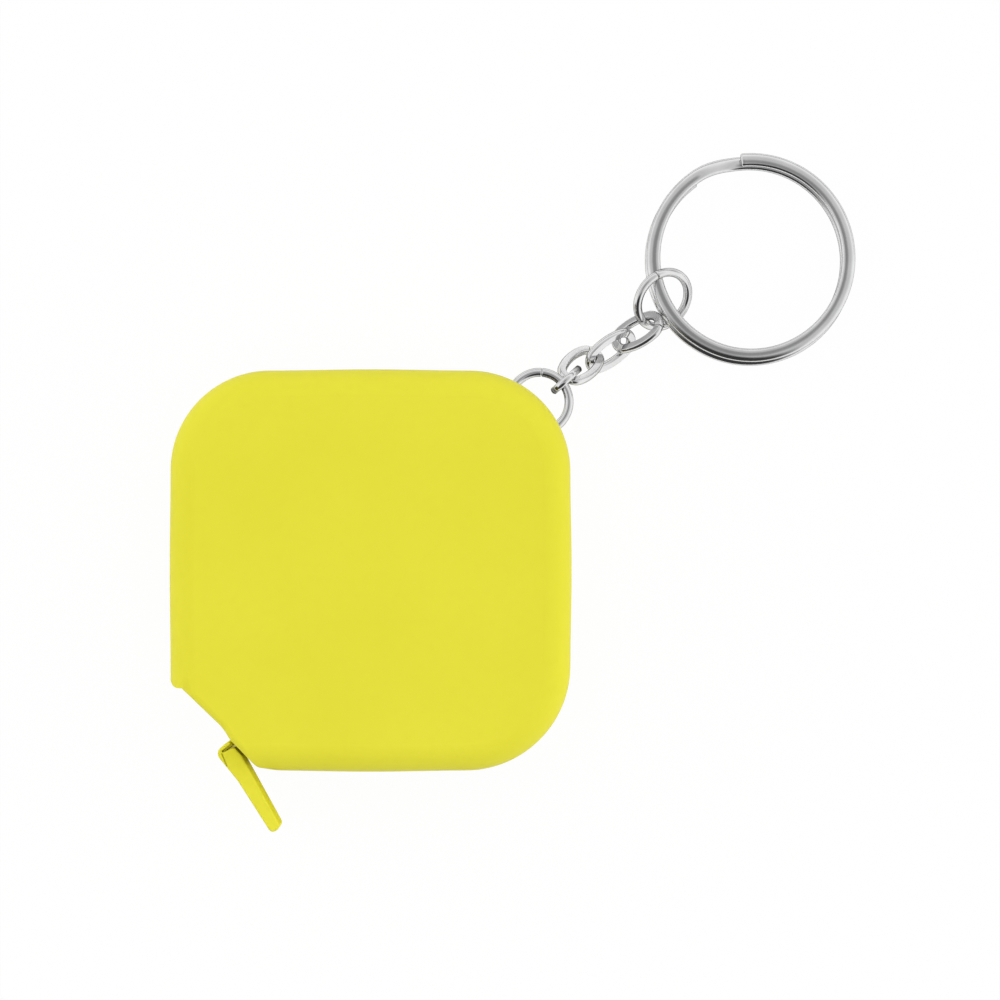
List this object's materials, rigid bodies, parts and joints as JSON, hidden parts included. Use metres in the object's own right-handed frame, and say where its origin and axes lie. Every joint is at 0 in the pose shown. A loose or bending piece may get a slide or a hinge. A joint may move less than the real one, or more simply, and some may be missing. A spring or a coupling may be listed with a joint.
{
  "type": "keychain measuring tape",
  "caption": "Pocket measuring tape in a yellow moulded case, with a pull tab, a short link chain and a split key ring.",
  "frame": {"origin": "spool axis on the case's back face, which lies on the table", "axes": "+Z out of the case's front face, along the spool axis; the key chain leaves towards +X+Y and the tape towards -X-Y"},
  "size_m": [0.081, 0.0803, 0.018],
  "materials": {
    "case_plastic": "satin",
    "tab_plastic": "satin",
    "drum_plastic": "satin",
    "tape_film": "semi-gloss",
    "nickel": "polished",
    "spring_steel": "bright"
  },
  "bodies": {
    "case": {"case_back": "case_plastic", "case_front": "case_plastic", "case_screw_1": "nickel", "case_screw_2": "nickel", "tape_feed": "tape_film"},
    "spool": {"spool_drum": "drum_plastic", "spool_cover": "drum_plastic", "tape_coil": "tape_film", "mainspring": "spring_steel"},
    "tab": {"pull_tab": "tab_plastic", "tape_lead": "tape_film"},
    "case_ring": {"jump_ring_case": "nickel"},
    "link_1": {"chain_link_1": "nickel"},
    "link_2": {"chain_link_2": "nickel"},
    "link_3": {"chain_link_3": "nickel"},
    "link_4": {"chain_link_4": "nickel"},
    "key_jump": {"jump_ring_key": "nickel"},
    "key_ring": {"key_ring": "nickel"}
  },
  "joints": [
    {"name": "tape_pull", "type": "slide", "parent": "case", "child": "tab", "axis": [-0.7997, -0.6004, 0], "range_m": [0, 0.98], "stiffness_N_per_m": 0.3, "springref_m": -1, "deforming": ["tape_lead"]},
    {"name": "spool_spin", "type": "hinge", "parent": "case", "child": "spool", "pos_m": [0, 0, 0.009], "axis": [0, 0, 1], "range_deg": [-4320, 0], "deforming": ["tape_coil", "mainspring"]},
    {"name": "case_ring_swing", "type": "hinge", "parent": "case", "child": "case_ring", "pos_m": [0.01882, 0.01882, 0.009], "axis": [0, 0, 1], "range_deg": [-35, 35]},
    {"name": "link_1_swing", "type": "hinge", "parent": "case_ring", "child": "link_1", "pos_m": [0.02245, 0.02226, 0.009], "axis": [-0.6794, 0.7337, 0], "range_deg": [-60, 40]},
    {"name": "link_2_swing", "type": "hinge", "parent": "link_1", "child": "link_2", "pos_m": [0.02345, 0.02287, 0.00477], "axis": [0.7348, 0.6566, 0.1702], "range_deg": [-6, 60]},
    {"name": "link_3_swing", "type": "hinge", "parent": "link_2", "child": "link_3", "pos_m": [0.02647, 0.02581, 0.00225], "axis": [-0.8129, 0.5121, -0.2774], "range_deg": [-40, 8]},
    {"name": "link_4_swing", "type": "hinge", "parent": "link_3", "child": "link_4", "pos_m": [0.03074, 0.02771, 0.00151], "axis": [0.3011, -0.6831, -0.6653], "range_deg": [-30, 60]},
    {"name": "key_jump_swing", "type": "hinge", "parent": "link_4", "child": "key_jump", "pos_m": [0.0341, 0.02958, 0.00334], "axis": [0.2069, -0.7966, 0.5681], "range_deg": [-34, 5]},
    {"name": "key_ring_swing", "type": "hinge", "parent": "key_jump", "child": "key_ring", "pos_m": [0.03458, 0.03213, 0.00257], "axis": [0.4289, -0.9033, 0], "range_deg": [-8, 75]}
  ],
  "couplings": [
    {"joint": "spool_spin", "follows": "tape_pull", "rad_per_m": -76.5}
  ]
}
